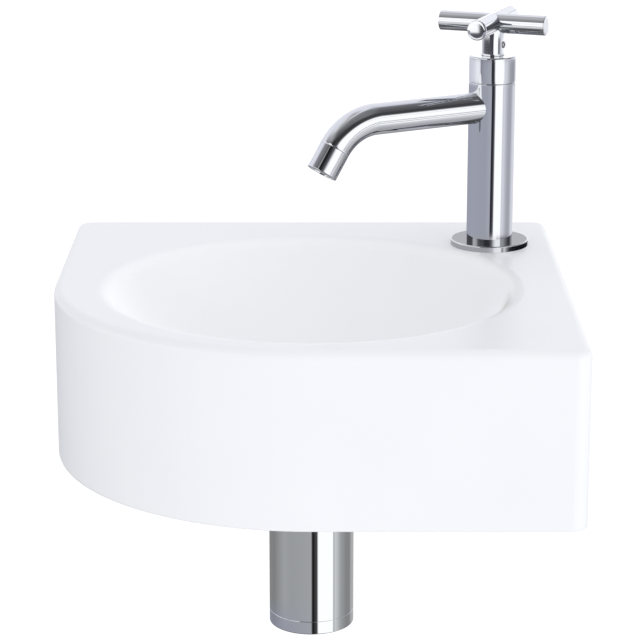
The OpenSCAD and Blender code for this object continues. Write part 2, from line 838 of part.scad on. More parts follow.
module trap_body() {
    top_t = 2.5;
    bevel = 1.5;
    color("silver") difference() {
        union() {
            at_bowl() rotate_extrude() polygon([
                [0, trap_bottom_z], [trap_r, trap_bottom_z], [trap_r, trap_top_z - bevel],
                [trap_r - bevel, trap_top_z], [0, trap_top_z]
            ]);
            at_bowl(trap_top_z - cut) cylinder(r = neck_r, h = neck_l + cut);
            at_outlet(pipe_r) cylinder(r = neck_r, h = outlet_neck_y - pipe_r);
        }
        at_bowl(trap_bottom_z - cut) cylinder(r = trap_inner_r, h = trap_h - top_t + cut);
        at_bowl(trap_top_z - top_t - cut)
            cylinder(r = pipe_r + seal_gap, h = top_t + neck_l + 2 * cut);
        at_outlet(0) cylinder(r = pipe_r + seal_gap, h = outlet_neck_y + cut);
    }
}

module trap_bottom_cap() {
    groove_z = trap_bottom_z + cap_thread_h / 2;
    thread = trap_inner_r - fit_gap;
    bevel = 0.6;
    color("silver") at_bowl() difference() {
        union() {
            rotate_extrude() polygon([
                [0, trap_cap_z], [trap_r - bevel, trap_cap_z], [trap_r, trap_cap_z + bevel],
                [trap_r, trap_bottom_z], [0, trap_bottom_z]
            ]);
            translate([0, 0, trap_bottom_z - cut]) cylinder(r = thread, h = cap_thread_h + cut);
        }
        translate([0, 0, trap_cap_z + cap_floor_t])
            cylinder(r = thread - cap_thread_t, h = trap_cap_h + cap_thread_h);
        translate([0, 0, groove_z]) ring(trap_r, thread - cap_seal_t, cap_seal_h);
    }
}

module trap_cap_seal() {
    thread = trap_inner_r - fit_gap;
    color("dimgray") at_bowl(trap_bottom_z + cap_thread_h / 2)
        ring(thread, thread - cap_seal_t, cap_seal_h);
}

module outlet_nut() {
    color("silver") at_outlet(outlet_neck_y - neck_l + nut_stop) neck_nut();
}

module outlet_seal() {
    color("dimgray") at_outlet(outlet_neck_y) neck_seal();
}

// The shallow groove marks how deep the pipe goes into the drain in the wall
module outlet_pipe() {
    color("silver") difference() {
        at_outlet(outlet_start_y) ring(pipe_r, pipe_r - pipe_t, wall_y + pipe_tail - outlet_start_y);
        at_outlet(wall_y - depth_mark_w) ring(pipe_r + cut, pipe_r - depth_mark_d, depth_mark_w);
    }
}

// Domed cover plate where the pipe enters the wall
module wall_rosette() {
    sheet = 1.2;
    collar_l = 3;
    foot = 4;
    inner = pipe_r + seal_gap;
    outer = rosette_d / 2;
    color("silver") at_outlet(wall_y - rosette_h) rotate_extrude() polygon([
        [inner, 0], [inner + sheet, 0], [inner + 2 * sheet, collar_l],
        [outer - sheet, rosette_h - sheet], [outer, rosette_h], [outer - foot, rosette_h],
        [inner + sheet, collar_l + sheet], [inner, collar_l]
    ]);
}

basin();
tap_base_plate();
tap_base_seal();
tap_tail();
tap_centring_ring();
tap_deck_seal();
tap_deck_washer();
tap_back_nut();
tap_body();
spout();
aerator_seal();
aerator_insert();
aerator_sleeve();
valve_seal();
fixed_disc();
moving_disc();
headwork_body();
spindle_seal();
spindle();
bonnet();
handle_cross();
handle_grub_screw();
waste_body();
waste_flange_seal();
waste_dome();
waste_dome_screw();
waste_under_seal();
waste_nut();
trap_union_nut();
trap_union_seal();
trap_dip_tube();
trap_neck_nut();
trap_neck_seal();
trap_body();
trap_bottom_cap();
trap_cap_seal();
outlet_nut();
outlet_seal();
outlet_pipe();
wall_rosette();
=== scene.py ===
# %% [markdown]
# A small wall-hung hand basin in white china, with one chrome tap and a chrome bottle trap.
# The exact solids of the model are loaded first, and the new pieces take their places from the boxes of
# these solids. A length that no box tells, such as a bore or a bend, is a named number. MM turns millimetres
# into the metres of the scene.

# %% Load the model
import json
import math

import bmesh
import bpy
from mathutils import Matrix, Vector


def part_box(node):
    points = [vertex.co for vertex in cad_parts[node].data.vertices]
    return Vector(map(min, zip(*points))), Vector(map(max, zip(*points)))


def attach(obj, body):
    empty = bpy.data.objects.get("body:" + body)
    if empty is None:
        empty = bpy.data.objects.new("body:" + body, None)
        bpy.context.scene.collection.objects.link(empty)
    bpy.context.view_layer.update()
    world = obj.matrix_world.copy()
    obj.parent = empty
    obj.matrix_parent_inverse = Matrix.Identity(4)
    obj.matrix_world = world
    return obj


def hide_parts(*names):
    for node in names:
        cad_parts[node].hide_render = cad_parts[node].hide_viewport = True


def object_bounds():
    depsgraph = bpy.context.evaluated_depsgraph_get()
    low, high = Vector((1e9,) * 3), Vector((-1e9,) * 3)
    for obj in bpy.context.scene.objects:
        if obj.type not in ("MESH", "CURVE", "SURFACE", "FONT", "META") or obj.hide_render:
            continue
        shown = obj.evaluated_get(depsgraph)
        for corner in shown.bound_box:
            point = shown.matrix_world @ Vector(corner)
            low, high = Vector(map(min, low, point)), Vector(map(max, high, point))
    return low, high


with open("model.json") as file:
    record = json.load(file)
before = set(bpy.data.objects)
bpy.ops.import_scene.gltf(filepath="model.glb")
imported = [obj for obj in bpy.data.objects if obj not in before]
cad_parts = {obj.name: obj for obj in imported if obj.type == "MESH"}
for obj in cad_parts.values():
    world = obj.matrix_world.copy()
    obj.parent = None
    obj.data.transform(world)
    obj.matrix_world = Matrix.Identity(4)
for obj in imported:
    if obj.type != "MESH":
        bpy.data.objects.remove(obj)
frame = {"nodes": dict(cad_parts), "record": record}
cad_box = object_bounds()
MM = 0.001
print("nodes:", len(frame["nodes"]), "box in mm:", [[round(c / MM, 1) for c in corner] for corner in cad_box])

# %% [markdown]
# The photograph was taken with a long lens from the front, looking a little down. A long lens keeps the
# sides of the basin nearly parallel. The place of the camera was worked out from the edges of the basin,
# whose plan is square, so the picture lines up with the photograph when nothing is moved afterwards.

# %% Camera
CAMERA_PLACE = Vector((5.1, -1546.0, 415.1)) * MM
CAMERA_DOWN = 15.6
LENS = 138.5
SENSOR = 36.0
CLIP_END = 50

camera_data = bpy.data.cameras.new("camera")
camera_data.lens = LENS
camera_data.sensor_width = SENSOR
camera_data.clip_end = CLIP_END
camera = bpy.data.objects.new("camera", camera_data)
camera.location = CAMERA_PLACE
camera.rotation_euler = (math.radians(90 - CAMERA_DOWN), 0, 0)
bpy.context.scene.collection.objects.link(camera)
bpy.context.scene.camera = camera
bpy.context.scene.view_settings.view_transform = "Standard"
print("camera:", [round(c, 4) for c in camera.location], "lens", LENS)

# %% [markdown]
# Colours are picked as screen values, which are sRGB, but a shader works with linear light. One function
# turns a hex value into linear light. A second one adds a node to a material with its settings and its
# links, so that a material reads as a short list of what goes into what.


# %% Colours and nodes
def linear(hex_code):
    """A colour such as #F2F1EE as linear red, green, blue and an alpha of 1."""
    parts = [int(hex_code[k : k + 2], 16) / 255 for k in (1, 3, 5)]
    return [c / 12.92 if c <= 0.04045 else ((c + 0.055) / 1.055) ** 2.4 for c in parts] + [1.0]


def add_node(tree, kind, inputs, **settings):
    """Adds a node. inputs gives each socket a value, or the output that feeds it."""
    node = tree.nodes.new(kind)
    for name, value in settings.items():
        setattr(node, name, value)
    for socket, value in inputs.items():
        if isinstance(value, bpy.types.NodeSocket):
            tree.links.new(value, node.inputs[socket])
        else:
            node.inputs[socket].default_value = value
    return node


def new_material(name):
    """An empty material: its node tree, its shader and the object's own coordinates."""
    material = bpy.data.materials.new(name)
    material.use_nodes = True
    tree = material.node_tree
    shader = tree.nodes["Principled BSDF"]
    place = add_node(tree, "ShaderNodeTexCoord", {}).outputs["Object"]
    return material, tree, shader, place


print("white china in linear light:", [round(c, 3) for c in linear("#F2F1EF")[:3]])

# %% [markdown]
# China is matt inside and glossy on top, so it needs soft, even light. Chrome is the opposite: it has no
# colour of its own and shows only the studio. A photographer builds that studio from white panels and
# black flags. Here the world holds both: a plain, nearly even light for everything matt, and rows of
# panels and flags that only reflections see.
#
# A row is a list of stops round the studio. Each stop is a bearing in degrees and the shade there, as the
# chrome shows it in the picture. Bearings run from -180 at the wall, by -90 on the left, 0 in front and 90
# on the right, to the wall again at 180. A row is named for the piece that mirrors it most, or for its
# place. The lowest rows are what the undersides of the arms and of the spout mirror. The trap mirrors the
# rows above them: greys on the left, a narrow black flag in front and a white panel to the right of it.

# %% Panels below
WHITE = "#FFFFFF"
BENEATH = [
    (-180, "#585859"), (-60, "#565757"), (20, "#606062"), (60, "#8A8A90"), (130, "#8A8A90"), (180, "#606064"),
]
UNDER = [
    (-180, "#5C5C5E"), (-40, "#565757"), (20, "#565658"), (60, "#9C9CA2"), (80, "#A6A6AA"), (150, "#A6A6AA"),
    (165, "#98989C"), (180, "#66666A"),
]
UNDER_EDGE = [
    (-180, "#5C5C60"), (-48, "#58585A"), (10, "#404044"), (60, "#C0C0C4"), (77, "#BCBCC0"), (100, "#AEAEB2"),
    (110, "#98989C"), (122, "#5A5A5E"), (138, "#4E4E52"), (150, "#909094"), (180, "#8A8A90"),
]
LOW = [
    (-180, "#66666A"), (-60, "#58585C"), (-50, "#888888"), (-32, "#888888"), (-28, "#505054"),
    (10, "#303034"), (28, "#A8A8AC"), (58, "#D8D8DC"), (70, "#D0D0D4"), (88, "#C0C0C4"), (97, "#A8A8AC"),
    (106, "#7A7A7E"), (120, "#5C5C60"), (141, "#585C5C"), (160, "#6A6A6E"), (180, "#8A8A90"),
]
LOW_EDGE = [
    (-180, "#6A6A70"), (-60, "#5A5A60"), (-52, "#E0E0E0"), (-34, "#E0E0E0"), (-30, "#50505A"), (1, "#303038"),
    (4, "#14141E"), (19, "#14141E"), (22, WHITE), (66, WHITE), (70, "#D8D8DC"), (82, "#C4C4C8"),
    (93, "#B0B0B4"), (104, "#86868A"), (120, "#6A6A6E"), (140, "#727276"), (165, "#808086"), (180, "#90909A"),
]
TRAP_FOOT = [
    (-180, "#8688A0"), (-99, "#8E90A2"), (-56, "#9496A4"), (-1, "#9C9EA4"), (2.5, "#151515"),
    (5, "#191919"), (15.5, "#4A4A4A"), (19, WHITE), (60.5, WHITE), (62.5, "#A6A7A7"), (69, "#C8C9C9"),
    (87, "#9B9C9C"), (110, "#838385"), (130, "#838385"), (137, "#A2A3A3"), (180, "#A6A7A7"),
]
TRAP_SIDE = [
    (-180, "#7B7C7C"), (-122, "#7D7E7E"), (-99, "#909191"), (-80, "#9D9E9F"), (-56, "#989999"),
    (-8, "#9D9E9F"), (-1, "#9F9F9F"), (2.5, "#151515"), (5, "#191919"), (15.5, "#4A4A4A"), (19, WHITE),
    (60.5, WHITE), (62.5, "#A6A7A7"), (69, "#C8C9C9"), (87, "#9B9C9C"), (110, "#828383"),
    (130, "#828383"), (137, "#A2A3A3"), (180, "#A6A7A7"),
]
MIDDLE = [
    (-180, "#9C9CA2"), (-60, "#9C9CA2"), (-52, WHITE), (-33, WHITE), (-29, "#808086"), (5, "#808086"),
    (14, WHITE), (65, WHITE), (70, "#CACACE"), (85, "#BEBEC2"), (110, "#A0A0A6"), (140, "#B0B0B6"),
    (155, "#E8E8EC"), (180, "#E0E0E6"),
]
print("stops beside the trap:", len(TRAP_SIDE), "and at its foot:", len(TRAP_FOOT))

# %% [markdown]
# An upright tube mirrors hardly more than one height of the studio, at nearly every bearing. So the rim of
# the plate, the body, the bonnet and the neck each have a row to themselves. For the body and the bonnet it
# is grey on the left, then a narrow black flag in front and a white panel to the right of it. The end of
# the nearest bar is almost flat, so it mirrors one small patch, which holds the edge of a white panel.

# %% Panels beside
PLATE_RIM = [
    (-180, "#9E9EA2"), (-10, "#9A9A9E"), (6, "#B4B4B8"), (12, "#DCDCDE"), (30, "#E4E4E6"), (34, "#909094"),
    (38, "#909094"), (42, "#C8C8CC"), (50, "#808084"), (56, "#46464A"), (62, "#26262A"), (72, "#101014"),
    (130, "#0E0E12"), (150, "#303034"), (180, "#8A8A90"),
]
BODY = [
    (-180, "#90929E"), (-125, "#989AA6"), (-105, "#9B9DA9"), (-30, "#989AA5"), (-8, "#A2A4AE"),
    (-5, "#A4A6B0"), (-3, "#2A2A30"), (2, "#24242A"), (7.5, "#3C3C42"), (12, "#6E6E74"), (16, WHITE),
    (50.5, WHITE), (53, "#CCCCD4"), (64, "#CECED6"), (72, "#BCBCC4"), (84, "#A8A8B0"), (92, "#A0A0A8"),
    (108, "#A4A4AC"), (118, "#C0C0C8"), (130, "#D0D0D8"), (150, "#CCCCD4"), (180, "#C4C4CC"),
]
BONNET = [
    (-180, "#BEBEC8"), (-140, "#C4C4CE"), (-104, "#D4D4DE"), (-84, "#EAEAEE"), (-68, "#E6E6EC"),
    (-62, "#82828C"), (-50, "#9496A0"), (-20, "#A2A4AE"), (-9, "#A6A8B0"), (-6.5, "#26262C"), (2, "#2C2C32"),
    (7, "#525258"), (12.5, WHITE), (56.5, WHITE), (59.5, "#D2D2D8"), (70, "#D4D4DA"), (82, "#BEBEC6"),
    (95, "#A2A2AA"), (110, "#94949C"), (132, "#96969C"), (148, "#C8C8D0"), (180, "#C0C0C8"),
]
NECK = [
    (-180, "#C8C8D0"), (-132, "#C0C0C8"), (-111, "#84848A"), (-95, "#5C5C62"), (-81, "#505056"),
    (-66, "#4C4C52"), (-33, "#48484E"), (-2, "#424248"), (2.5, "#4A4A50"), (5, WHITE), (50, WHITE),
    (53, "#707076"), (68, "#707076"), (81, "#B2B2B8"), (97, "#DADAE0"), (116, "#E8E8EC"), (140, "#F0F0F4"),
    (180, "#D4D4DC"),
]
DISC = [
    (-180, "#38383E"), (5, "#404046"), (8, WHITE), (66, WHITE), (72, "#C8C8CE"), (134, "#DCDCE2"),
    (180, "#F0F0F4"),
]
DISC_PANEL_EDGE = (-38.25, -38.1)
ARMS = [
    (-180, "#F0F0F4"), (-166, "#E4E4EA"), (-120, "#DCDCE4"), (-106, WHITE), (-32, WHITE), (-28, "#505058"),
    (12, "#505058"), (17, WHITE), (66, WHITE), (72, "#C8C8CE"), (134, "#DCDCE2"), (142, "#F0F0F4"),
    (180, "#F2F2F5"),
]
print("stops in the longest row:", max(len(row) for row in (PLATE_RIM, BODY, BONNET, NECK, DISC, ARMS)))

# %% [markdown]
# The flat top of the plate mirrors a thin row just above the one of the arms. Over it hang white panels on
# both sides of a grey one, and then long dark flags, which end towards the wall on both sides and grow
# paler towards the ceiling. The spout mirrors them as its dark band.

# %% Panels above
PLATE_TOP = [
    (-180, "#AAAAAE"), (-164, "#A0A0A4"), (-152, "#4B4B50"), (-106, "#404044"), (-98, "#505054"),
    (-92, "#B4B4B8"), (-74, "#ACACB0"), (-60, "#4A4A4E"), (-20, "#2E2E32"), (-4, "#323236"), (8, "#6C6C70"),
    (18, "#D0D0D2"), (28, WHITE), (50, WHITE), (54, "#A0A0A4"), (68, "#9C9CA0"), (88, "#626266"),
    (110, "#303034"), (122, "#505054"), (142, "#A4A4A8"), (180, "#AAAAAE"),
]
PANEL = [
    (-180, "#DEDEE4"), (-120, "#DCDCE4"), (-106, WHITE), (-34, WHITE), (-30, "#66666C"), (6, "#66666C"),
    (20, WHITE), (66, WHITE), (72, "#6A6A70"), (130, "#808086"), (146, "#EAEAF0"), (180, "#E4E4EA"),
]
FLAG = [
    (-180, "#E4E4EA"), (-112, "#DCDCE4"), (-98, "#C8C8D0"), (-86, "#808086"), (-62, "#78787C"), (-56, WHITE),
    (-36, WHITE), (-32, "#1E1E20"), (-17, "#1C1C1E"), (-8, "#3A3A3C"), (66, "#424244"), (120, "#505054"),
    (150, "#DCDCE6"), (180, "#E0E0E6"),
]
FLAG_MIDDLE = [
    (-180, "#DCDCE4"), (-122, "#DADAE2"), (-104, "#C4C4CC"), (-90, "#88888C"), (-54, "#656568"),
    (-36, "#58585A"), (-26, "#28282A"), (0, "#303032"), (72, "#38383A"), (120, "#505054"), (140, "#A0A0A8"),
    (152, "#DADAE2"), (180, "#DCDCE4"),
]
FLAG_UPPER = [
    (-180, "#DCDCE4"), (-108, "#D4D4DC"), (-92, "#B0B0B4"), (-60, "#9A9A9C"), (-44, "#8E8E90"),
    (-30, "#5A5A5C"), (-6, "#464648"), (29, "#3C3C3E"), (52, "#4C4C4E"), (110, "#505054"), (138, "#6A6A70"),
    (152, "#D8D8E0"), (180, "#DCDCE4"),
]
FLAG_TOP = [
    (-180, "#DCDCE4"), (-96, "#D4D4DA"), (-80, "#CCCCCE"), (-68, "#A6A6A8"), (-52, "#8A8A8C"),
    (-36, "#666668"), (-20, "#5E5E60"), (19, "#6A6A6C"), (55, "#78787A"), (85, "#5A5A5C"), (125, "#606064"),
    (134, "#80808A"), (144, "#CCCCD4"), (180, "#DCDCE4"),
]
HIGH = [
    (-180, "#DCDCE4"), (-152, "#A8A8AC"), (-138, "#C0C0C6"), (-125, "#D8D8DE"), (-100, "#C8C8CC"),
    (-70, "#A4A4A6"), (-40, "#88888A"), (0, "#707072"), (100, "#707074"), (140, "#A0A0A6"), (160, "#D8D8E0"),
    (180, "#DCDCE4"),
]
HIGHER = [
    (-180, "#C0C0C6"), (-150, "#A4A4A6"), (-110, "#A4A4A6"), (-80, "#B0B0B2"), (-50, "#A0A0A2"),
    (-22, "#7C7C7E"), (115, "#747478"), (135, "#98989E"), (148, "#D4D4DC"), (180, "#C8C8D0"),
]
OVERHEAD = [
    (-180, "#D0D0D6"), (-70, "#D0D0D4"), (-30, "#84848A"), (120, "#84848A"), (150, "#C0C0C6"),
    (180, "#D0D0D6"),
]
print("darkest flag:", min(shade for bearing, shade in FLAG))

# %% [markdown]
# Each row hangs at a height, which is an angle in degrees above the horizon. From one row to the next the
# shades blend. A row that is given twice stays as it is between its two heights, and two rows that are
# close together meet in a crisp edge.

# %% Heights of the rows
STUDIO_ROWS = [
    (-75, BENEATH), (-50, UNDER), (-40, UNDER_EDGE), (-33, LOW), (-26, LOW_EDGE), (-24.4, LOW_EDGE),
    (-23.2, TRAP_FOOT), (-22, TRAP_SIDE), (-20.2, TRAP_SIDE), (-19.4, MIDDLE), (-14.7, MIDDLE),
    (-14.2, PLATE_RIM), (-13.68, PLATE_RIM), (-13.6, BODY), (-10.14, BODY), (-10.06, BONNET),
    (-9.55, BONNET), (-9.47, NECK), (-9.06, NECK), (-9.0, DISC), (-8.3, DISC), (-8, ARMS), (13, ARMS),
    (13.35, PLATE_TOP), (13.95, PLATE_TOP), (14.4, PANEL), (19.5, PANEL), (27.5, FLAG), (33, FLAG),
    (37.5, FLAG_MIDDLE), (46, FLAG_UPPER), (56, FLAG_TOP), (66, HIGH), (75, HIGHER), (88, OVERHEAD),
]
print("rows of panels:", len(STUDIO_ROWS))

# %% [markdown]
# A colour ramp runs round each row, and the rows are stacked from the lowest to the highest. A ramp has only
# a few hundred steps for the full turn. That is too coarse for the one upright edge which is seen in a
# nearly flat mirror, so that edge is cut with a Map Range node.


# %% Stack of rows
def shade_row(tree, turn, stops):
    """One row of panels round the studio: turn runs from 0 at the wall, by the left, round to the wall."""
    row = add_node(tree, "ShaderNodeValToRGB", {"Fac": turn})
    elements = row.color_ramp.elements
    while len(elements) < len(stops):
        elements.new(1.0)
    for element, (bearing, shade) in zip(elements, stops):
        element.position = (bearing + 180) / 360
        element.color = linear(shade)
    return row.outputs["Color"]


def white_before(tree, angle, row, edge):
    """Lays a white panel over the part of a row that comes before an edge."""
    start, end = (math.radians(bearing) for bearing in edge)
    past = add_node(tree, "ShaderNodeMapRange", {0: angle, 1: start, 2: end}).outputs[0]
    return add_node(tree, "ShaderNodeMix", {0: past, 6: linear(WHITE), 7: row}, data_type="RGBA").outputs[2]


def stacked_rows(tree, way):
    """The shade that the rows give in every direction."""
    axes = add_node(tree, "ShaderNodeSeparateXYZ", {0: way}).outputs
    to_front = add_node(tree, "ShaderNodeMath", {0: axes["Y"], 1: -1.0}, operation="MULTIPLY").outputs[0]
    angle = add_node(tree, "ShaderNodeMath", {0: axes["X"], 1: to_front}, operation="ARCTAN2").outputs[0]
    turn = add_node(tree, "ShaderNodeMapRange", {0: angle, 1: -math.pi, 2: math.pi}).outputs[0]
    height = add_node(tree, "ShaderNodeMath", {0: axes["Z"]}, operation="ARCSINE").outputs[0]
    low, stops = STUDIO_ROWS[0]
    shade = shade_row(tree, turn, stops)
    for high, stops in STUDIO_ROWS[1:]:
        row = shade_row(tree, turn, stops)
        if stops is DISC:
            row = white_before(tree, angle, row, DISC_PANEL_EDGE)
        rise = add_node(
            tree, "ShaderNodeMapRange", {0: height, 1: math.radians(low), 2: math.radians(high)}
        ).outputs[0]
        shade = add_node(tree, "ShaderNodeMix", {0: rise, 6: shade, 7: row}, data_type="RGBA").outputs[2]
        low = high
    return shade


print("height of the crisp edge:", [height for height, row in STUDIO_ROWS if row is DISC])

# %% [markdown]
# The world sorts rays by what sent them out. The camera sees plain white. A reflection sees the rows, raised
# by as much as the chrome will take away. Everything matt gets a nearly even light, which is a little
# stronger from the right, the front and below, as in the photograph.

# %% Studio light
CHROME = "#DADCDF"
EVEN_LIGHT = 1.015
KEY_SIDE = Vector((0.2, -0.16, -0.13))


def studio_world():
    world = bpy.data.worlds.new("studio")
    world.use_nodes = True
    tree = world.node_tree
    tree.nodes.clear()
    way = add_node(tree, "ShaderNodeTexCoord", {}).outputs["Generated"]
    shade = stacked_rows(tree, way)
    gain = 1 / linear(CHROME)[1]
    panels = add_node(tree, "ShaderNodeBackground", {"Color": shade, "Strength": gain}).outputs[0]
    lean = add_node(tree, "ShaderNodeVectorMath", {0: way, 1: KEY_SIDE}, operation="DOT_PRODUCT")
    level = add_node(
        tree, "ShaderNodeMath", {0: lean.outputs["Value"], 1: EVEN_LIGHT}, operation="ADD"
    ).outputs[0]
    even = add_node(tree, "ShaderNodeBackground", {"Color": linear(WHITE), "Strength": level}).outputs[0]
    white = add_node(tree, "ShaderNodeBackground", {"Color": linear(WHITE), "Strength": 1.0}).outputs[0]
    path = add_node(tree, "ShaderNodeLightPath", {}).outputs
    seen = add_node(tree, "ShaderNodeMixShader", {0: path["Is Glossy Ray"], 1: even, 2: panels}).outputs[0]
    seen = add_node(tree, "ShaderNodeMixShader", {0: path["Is Camera Ray"], 1: seen, 2: white}).outputs[0]
    add_node(tree, "ShaderNodeOutputWorld", {"Surface": seen})
    return world


bpy.context.scene.world = studio_world()
print("nodes in the world:", len(bpy.context.scene.world.node_tree.nodes))

# %% [markdown]
# The floor is a plain pale sheet well below the trap, which hangs in the air. It is matt, so it takes the
# soft shadow of the object, and a little light of its own to the camera's eye brings the sheet up to the
# white of the background. Reflections and bounced light leave it out, because the chrome is to show the
# panels and the china is to get the even light. From below the sheet is clear, so that the underside of
# the basin can be looked at too.

# %% Floor
FLOOR_DROP = 300 * MM
FLOOR_SIZE = 12.0
FLOOR_SHADE = "#F0F0F0"
FLOOR_ROUGH = 0.9
FLOOR_LIFT = 0.3


def paper():
    material, tree, shader, _ = new_material("white paper sheet")
    shader.inputs["Base Color"].default_value = linear(FLOOR_SHADE)
    shader.inputs["Roughness"].default_value = FLOOR_ROUGH
    shader.inputs["Specular IOR Level"].default_value = 0.0
    shader.inputs["Emission Color"].default_value = linear(WHITE)
    path = add_node(tree, "ShaderNodeLightPath", {}).outputs["Is Camera Ray"]
    lift = add_node(tree, "ShaderNodeMath", {0: path, 1: FLOOR_LIFT}, operation="MULTIPLY").outputs[0]
    tree.links.new(lift, shader.inputs["Emission Strength"])
    under = add_node(tree, "ShaderNodeNewGeometry", {}).outputs["Backfacing"]
    clear = add_node(tree, "ShaderNodeBsdfTransparent", {}).outputs[0]
    one_sided = add_node(tree, "ShaderNodeMixShader", {0: under, 1: shader.outputs[0], 2: clear}).outputs[0]
    tree.links.new(one_sided, tree.nodes["Material Output"].inputs["Surface"])
    return material


floor_height = cad_box[0][2] - FLOOR_DROP
mesh = bpy.data.meshes.new("floor")
form = bmesh.new()
bmesh.ops.create_grid(form, x_segments=1, y_segments=1, size=FLOOR_SIZE)
bmesh.ops.translate(form, verts=form.verts, vec=(0, 0, floor_height))
form.to_mesh(mesh)
form.free()
mesh.materials.append(paper())
floor = bpy.data.objects.new("floor", mesh)
bpy.context.scene.collection.objects.link(floor)
floor.visible_glossy = False
floor.visible_diffuse = False
print("floor at", round(floor_height, 3))

# %% [markdown]
# Vitreous china is cast, glazed and fired. The glaze is a thin layer of glass, so the surface is white
# under a colourless reflection, which is drawn soft because the china in the photograph mirrors nothing
# sharp. Fired glaze is never quite flat: it has slow waves, and it pools thicker and whiter in places. The
# bowl is given a whiter shade, which is painted light: it brightens the bowl the way gathered light would.
# The face against the wall is bare fired clay, dull and creamier.

# %% Vitreous china
GLAZE = ("#EFF1F6", "#F3F4F8")
# The bowl's whiter shade is painted light, a colour that brightens the bowl in place of light.
BOWL_PAINTED_LIGHT = "#FAFBFE"
BARE_CLAY = "#E2DCCE"
GLAZE_ROUGH, CLAY_ROUGH = 0.3, 0.75
POOL_WIDTH = 60 * MM
WAVE_WIDTH = 35 * MM
WAVE_HEIGHT = 0.3 * MM
BOWL_CENTRE = Vector((0, -163, 112.8286)) * MM
BOWL_SPHERE_R = 132.8286 * MM
BOWL_EDGE = (BOWL_SPHERE_R + 6 * MM, BOWL_SPHERE_R + 1 * MM)
CLAY_EDGE = (-0.9 * MM, -0.4 * MM)
GLAZE_IOR = 1.5
GLAZE_SHINE = 0.3
WAVE_STRENGTH = 0.25


def vitreous_china():
    material, tree, shader, place = new_material("vitreous china with clear glaze")
    pools = add_node(tree, "ShaderNodeTexNoise", {"Vector": place, "Scale": 1 / POOL_WIDTH, "Detail": 1.0})
    glaze = add_node(
        tree, "ShaderNodeMix", {0: pools.outputs["Fac"], 6: linear(GLAZE[0]), 7: linear(GLAZE[1])},
        data_type="RGBA",
    ).outputs[2]
    reach = add_node(tree, "ShaderNodeVectorMath", {0: place, 1: BOWL_CENTRE}, operation="DISTANCE")
    bowl_light_mask = add_node(
        tree, "ShaderNodeMapRange", {0: reach.outputs["Value"], 1: BOWL_EDGE[0], 2: BOWL_EDGE[1]}
    ).outputs[0]
    # Painted light: inside the bowl the glaze is mixed to a whiter shade than on the deck.
    glaze = add_node(
        tree, "ShaderNodeMix", {0: bowl_light_mask, 6: glaze, 7: linear(BOWL_PAINTED_LIGHT)}, data_type="RGBA"
    ).outputs[2]
    depth = add_node(tree, "ShaderNodeSeparateXYZ", {0: place}).outputs["Y"]
    bare = add_node(tree, "ShaderNodeMapRange", {0: depth, 1: CLAY_EDGE[0], 2: CLAY_EDGE[1]}).outputs[0]
    colour = add_node(
        tree, "ShaderNodeMix", {0: bare, 6: glaze, 7: linear(BARE_CLAY)}, data_type="RGBA"
    ).outputs[2]
    rough = add_node(tree, "ShaderNodeMapRange", {0: bare, 3: GLAZE_ROUGH, 4: CLAY_ROUGH}).outputs[0]
    waves = add_node(tree, "ShaderNodeTexNoise", {"Vector": place, "Scale": 1 / WAVE_WIDTH, "Detail": 2.0})
    bump = add_node(
        tree,
        "ShaderNodeBump",
        {"Height": waves.outputs["Fac"], "Strength": WAVE_STRENGTH, "Distance": WAVE_HEIGHT},
    ).outputs[0]
    tree.links.new(colour, shader.inputs["Base Color"])
    tree.links.new(rough, shader.inputs["Roughness"])
    tree.links.new(bump, shader.inputs["Normal"])
    shader.inputs["IOR"].default_value = GLAZE_IOR
    shader.inputs["Specular IOR Level"].default_value = GLAZE_SHINE
    return material


finishes = {"glazed_ceramic": vitreous_china()}
print("finish:", finishes["glazed_ceramic"].name)

# %% [markdown]
# Chrome is a film of metal, a few ten-thousandths of a millimetre thick, plated over polished brass. It
# mirrors sharply and is faintly blue. The polishing under it leaves a haze too fine to see as scratches,
# so it shows only as a slightly uneven sharpness.

# %% Chrome plate
HAZE_WIDTH = 9 * MM
HAZE_ROUGH = (0.018, 0.03)


def chrome_plate():
    material, tree, shader, place = new_material("bright chrome plate on polished brass")
    shader.inputs["Base Color"].default_value = linear(CHROME)
    shader.inputs["Metallic"].default_value = 1.0
    haze = add_node(tree, "ShaderNodeTexNoise", {"Vector": place, "Scale": 1 / HAZE_WIDTH, "Detail": 3.0})
    rough = add_node(
        tree, "ShaderNodeMapRange", {0: haze.outputs["Fac"], 3: HAZE_ROUGH[0], 4: HAZE_ROUGH[1]}
    ).outputs[0]
    tree.links.new(rough, shader.inputs["Roughness"])
    return material


finishes["chrome"] = chrome_plate()
print("finish:", finishes["chrome"].name)

# %% [markdown]
# The hidden metal is bare: turned brass nuts, tail and valve body, and stainless screws and washers. A
# lathe leaves fine rings, and rolled sheet a fine grain, both drawn a little coarser than they are so that
# a close view still shows them. A wave texture has a little over six light and dark bands to the unit.

# %% Brass and steel
UNEVEN = 0.05
BANDS_PER_UNIT = 6.28


def bare_metal(name, shades, rough, line):
    """Bare metal with tool marks about a line wide, between two shades."""
    material, tree, shader, place = new_material(name)
    marks = add_node(
        tree,
        "ShaderNodeTexWave",
        {"Vector": place, "Scale": 1 / (line * BANDS_PER_UNIT), "Distortion": 1.5, "Detail": 2.0},
        bands_direction="Z",
    ).outputs["Fac"]
    colour = add_node(
        tree, "ShaderNodeMix", {0: marks, 6: linear(shades[0]), 7: linear(shades[1])}, data_type="RGBA"
    ).outputs[2]
    dull = add_node(tree, "ShaderNodeMapRange", {0: marks, 3: rough - UNEVEN, 4: rough + UNEVEN}).outputs[0]
    tree.links.new(colour, shader.inputs["Base Color"])
    tree.links.new(dull, shader.inputs["Roughness"])
    shader.inputs["Metallic"].default_value = 1.0
    return material


finishes["brass"] = bare_metal("turned brass", ("#C2A05A", "#CDAE6C"), 0.28, 0.4 * MM)
finishes["steel"] = bare_metal("stainless steel", ("#B4B6B9", "#C2C4C6"), 0.32, 0.3 * MM)
print("finishes:", finishes["brass"].name, "and", finishes["steel"].name)

